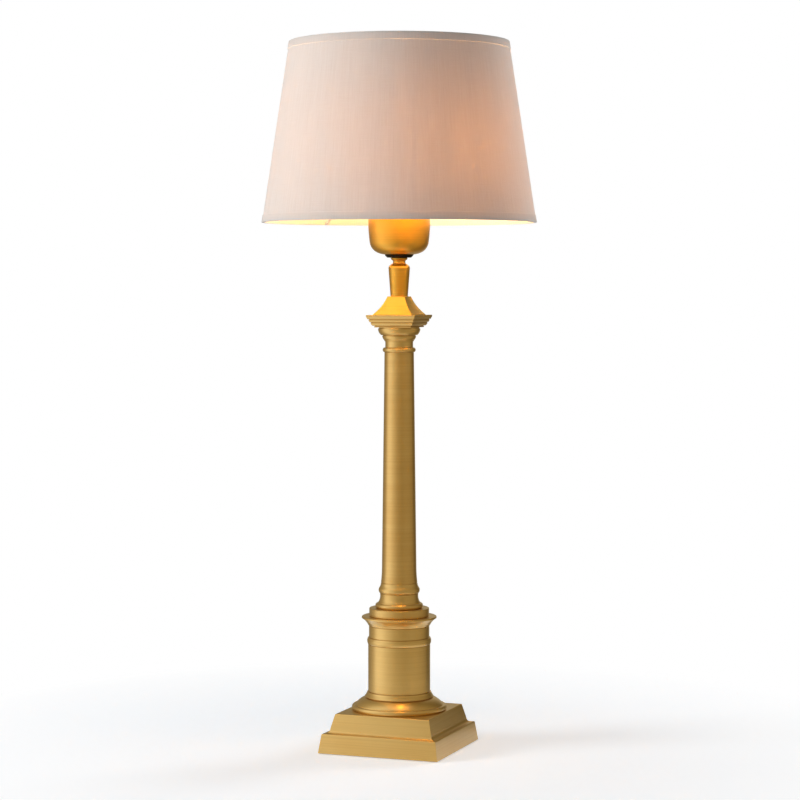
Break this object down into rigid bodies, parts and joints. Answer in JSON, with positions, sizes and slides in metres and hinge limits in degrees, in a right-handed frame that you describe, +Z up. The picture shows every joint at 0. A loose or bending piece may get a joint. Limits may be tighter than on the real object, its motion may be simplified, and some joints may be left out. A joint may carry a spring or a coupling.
{
  "type": "column table lamp",
  "caption": "Brass column table lamp on a stepped square plinth, with a moulded capital, a round cup and a tapered fabric drum shade over an Edison screw bulb.",
  "frame": {"origin": "middle of the underside, on the surface that the lamp stands on", "axes": "+Z up along the column, -Y the front face of the plinth, +Y the cord outlet at the back"},
  "size_m": [0.3, 0.3, 0.772],
  "materials": {
    "satin_brass": "satin brushed round, clear lacquer",
    "dark_washer": "blackened steel",
    "zinc_steel": "zinc plated",
    "iron": "rough cast",
    "felt": "pressed felt",
    "rubber": "matte",
    "holder_plastic": "moulded",
    "porcelain": "glazed white",
    "contact_brass": "bright pressed strip",
    "bulb_metal": "rolled thread",
    "bulb_black_glass": "opaque black glass",
    "bulb_glass": "frosted",
    "filament_wire": "drawn tungsten wire",
    "shade_cloth": "slub weave with upright threads",
    "shade_trim": "same cloth turned over the wire",
    "shade_lining": "translucent lining sheet",
    "fitter_wire": "ivory paint on steel wire"
  },
  "bodies": {
    "lamp": {"base_plinth": "satin_brass", "pedestal_foot": "satin_brass", "pedestal_drum": "satin_brass", "drum_band": "satin_brass", "pedestal_cornice": "satin_brass", "cap_disc": "satin_brass", "column_base": "satin_brass", "column_shaft": "satin_brass", "necking_ring": "satin_brass", "capital": "satin_brass", "abacus": "satin_brass", "capital_cap": "satin_brass", "candle_neck": "satin_brass", "neck_collar": "satin_brass", "cup": "satin_brass", "cup_washer": "dark_washer", "threaded_rod": "zinc_steel", "rod_nut": "zinc_steel", "rod_washer": "zinc_steel", "cup_nut": "zinc_steel", "cover_screws": "zinc_steel", "base_cover": "zinc_steel", "base_weight": "iron", "base_felt": "felt", "cord_gland": "rubber", "holder_cap": "holder_plastic", "holder_barrel": "holder_plastic", "holder_core": "porcelain", "holder_contact": "contact_brass", "terminal_screws": "contact_brass", "screw_shell": "contact_brass"},
    "bulb_carriage": {"bulb_contact": "bulb_metal"},
    "bulb": {"bulb_cap": "bulb_metal", "bulb_insulator": "bulb_black_glass", "bulb_glass": "bulb_glass", "bulb_stem": "bulb_glass", "bulb_filament": "filament_wire"},
    "shade": {"fitter_ring": "fitter_wire", "spoke_1": "fitter_wire", "spoke_2": "fitter_wire", "spoke_3": "fitter_wire", "bottom_ring_wire": "fitter_wire", "top_ring_wire": "fitter_wire", "shade_liner": "shade_lining", "shade_fabric": "shade_cloth", "bottom_trim": "shade_trim", "top_trim": "shade_trim"},
    "ring": {"shade_ring": "holder_plastic"}
  },
  "joints": [
    {"name": "bulb_rise", "type": "slide", "parent": "lamp", "child": "bulb_carriage", "axis": [0, 0, 1], "range_m": [0, 0.029]},
    {"name": "bulb_turn", "type": "hinge", "parent": "bulb_carriage", "child": "bulb", "pos_m": [0, 0, 0.6], "axis": [0, 0, 1], "range_deg": [0, 2880]},
    {"name": "shade_lift", "type": "slide", "parent": "lamp", "child": "shade", "axis": [0, 0, 1], "range_m": [0, 0.13]},
    {"name": "shade_ring_turn", "type": "hinge", "parent": "shade", "child": "ring", "pos_m": [0, 0, 0.595], "axis": [0, 0, 1], "continuous": true}
  ],
  "couplings": [
    {"joint": "bulb_rise", "follows": "bulb_turn", "m_per_rad": 0.00057614}
  ]
}
